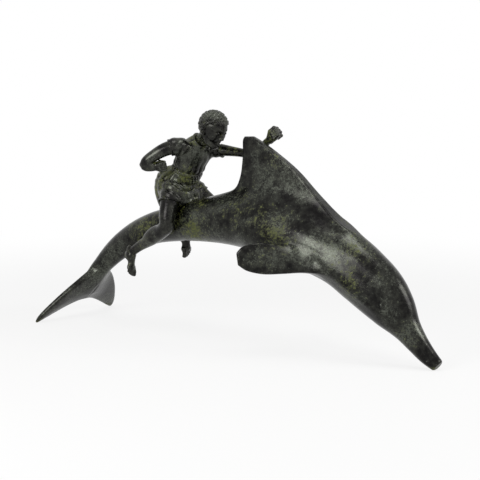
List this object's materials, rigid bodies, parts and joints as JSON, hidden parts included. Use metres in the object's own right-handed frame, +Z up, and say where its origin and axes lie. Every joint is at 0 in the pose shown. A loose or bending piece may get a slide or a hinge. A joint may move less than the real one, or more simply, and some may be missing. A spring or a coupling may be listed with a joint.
{
  "type": "dolphin and rider figurine",
  "caption": "Cast bronze figurine of an arched dolphin standing on its beak and fluke tips, with a rider in a short tunic astride its back, assembled with spigots, tenons and pins.",
  "frame": {"origin": "On the resting plane, below the middle of the bounding box.", "axes": "+X is towards the dolphin's beak and is the longest extent, +Y is the dolphin's left side, +Z is up."},
  "size_m": [0.4466, 0.1324, 0.2249],
  "materials": {
    "bronze_dolphin": "dark patinated bronze, satin, with green mottling",
    "bronze_rider": "dark patinated bronze, satin, with more green in the hollows",
    "bronze_pin": "dark patinated bronze, filed flush"
  },
  "bodies": {
    "root": {"dolphin_body": "bronze_dolphin", "tail_flukes": "bronze_dolphin", "dorsal_fin": "bronze_dolphin", "pectoral_fin_right": "bronze_dolphin", "pectoral_fin_left": "bronze_dolphin", "rider_torso": "bronze_rider", "rider_head": "bronze_rider", "rider_arm_right": "bronze_rider", "rider_arm_left": "bronze_rider", "rider_leg_right": "bronze_rider", "rider_leg_left": "bronze_rider", "tail_pin_1": "bronze_pin", "tail_pin_2": "bronze_pin", "dorsal_pin_1": "bronze_pin", "dorsal_pin_2": "bronze_pin", "pectoral_pin_right": "bronze_pin", "pectoral_pin_left": "bronze_pin", "neck_pin": "bronze_pin", "arm_right_pin": "bronze_pin", "arm_left_pin": "bronze_pin", "leg_right_pin": "bronze_pin", "leg_left_pin": "bronze_pin", "seat_dowel_1": "bronze_pin", "seat_dowel_2": "bronze_pin"}
  },
  "joints": []
}
